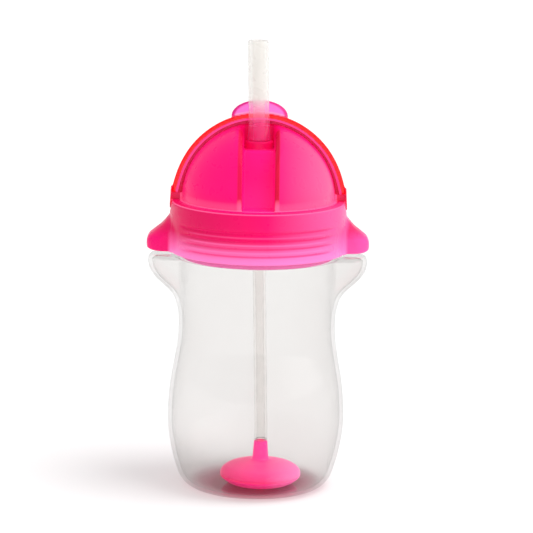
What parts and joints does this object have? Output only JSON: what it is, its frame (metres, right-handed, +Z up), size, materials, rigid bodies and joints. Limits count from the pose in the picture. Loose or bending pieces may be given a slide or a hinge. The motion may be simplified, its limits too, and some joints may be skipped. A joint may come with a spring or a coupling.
{
  "type": "sippy cup",
  "caption": "Clear toddler cup with side ears, a screw-on domed lid, a flip cover that folds the soft straw, and a weighted straw inside.",
  "frame": {"origin": "centre of the flat base, on the cup's axis", "axes": "+Z up; the front, where the straw folds down, faces -Y; +X to the right seen from the front"},
  "size_m": [0.0942, 0.0756, 0.1918],
  "materials": {
    "clear_body": "gloss",
    "pink_lid": "satin",
    "pink_cover": "gloss",
    "silicone": "matte",
    "pink_weight": "satin",
    "steel": "satin"
  },
  "bodies": {
    "cup": {"cup": "clear_body"},
    "seal": {"lid_seal": "silicone"},
    "lid": {"lid": "pink_lid", "straw_base": "silicone"},
    "cover": {"flip_cover": "pink_cover"},
    "straw_neck": {"straw_neck": "silicone"},
    "straw_tip": {"straw_tip": "silicone"},
    "tube_upper": {"tube_upper": "silicone"},
    "tube": {"tube_main": "silicone"},
    "tube_lower": {"tube_lower": "silicone"},
    "weight": {"weight_top": "pink_weight", "weight_bottom": "pink_weight", "weight_slug": "steel"}
  },
  "joints": [
    {"name": "lid_rise", "type": "slide", "parent": "cup", "child": "seal", "axis": [0, 0, 1], "range_m": [0, 0.0071]},
    {"name": "lid_turn", "type": "hinge", "parent": "seal", "child": "lid", "pos_m": [0, 0, 0.112], "axis": [0, 0, 1], "range_deg": [0, 420]},
    {"name": "cover_hinge", "type": "hinge", "parent": "lid", "child": "cover", "pos_m": [0, 0, 0.1244], "axis": [1, 0, 0], "range_deg": [0, 91.5]},
    {"name": "straw_fold_low", "type": "hinge", "parent": "lid", "child": "straw_neck", "pos_m": [-0.0001, -0.00564, 0.15305], "axis": [1, 0, 0], "range_deg": [0, 76], "deforming": ["straw_neck"]},
    {"name": "straw_fold_high", "type": "hinge", "parent": "straw_neck", "child": "straw_tip", "pos_m": [-0.0002, -0.00564, 0.15915], "axis": [1, 0, 0], "range_deg": [0, 76], "deforming": ["straw_tip"]},
    {"name": "tube_swing_fore_aft", "type": "hinge", "parent": "lid", "child": "tube_upper", "pos_m": [0, -0.005, 0.1318], "axis": [1, 0, 0], "range_deg": [-1.5, 5.5]},
    {"name": "tube_swing_side", "type": "hinge", "parent": "tube_upper", "child": "tube", "pos_m": [0, -0.005, 0.126], "axis": [0, 1, 0], "range_deg": [-3.1, 5.9]},
    {"name": "tube_level_side", "type": "hinge", "parent": "tube", "child": "tube_lower", "pos_m": [0.0024, -0.005, 0.026], "axis": [0, 1, 0], "range_deg": [-5.9, 3.1]},
    {"name": "weight_level", "type": "hinge", "parent": "tube_lower", "child": "weight", "pos_m": [0.0024, -0.005, 0.0204], "axis": [1, 0, 0], "range_deg": [-5.5, 1.5]}
  ],
  "couplings": [
    {"joint": "lid_rise", "follows": "lid_turn", "m_per_rad": 0.00095493},
    {"joint": "straw_fold_low", "follows": "cover_hinge", "ratio": 0.82},
    {"joint": "straw_fold_high", "follows": "cover_hinge", "ratio": 0.82},
    {"joint": "tube_level_side", "follows": "tube_swing_side", "ratio": -1},
    {"joint": "weight_level", "follows": "tube_swing_fore_aft", "ratio": -1}
  ]
}
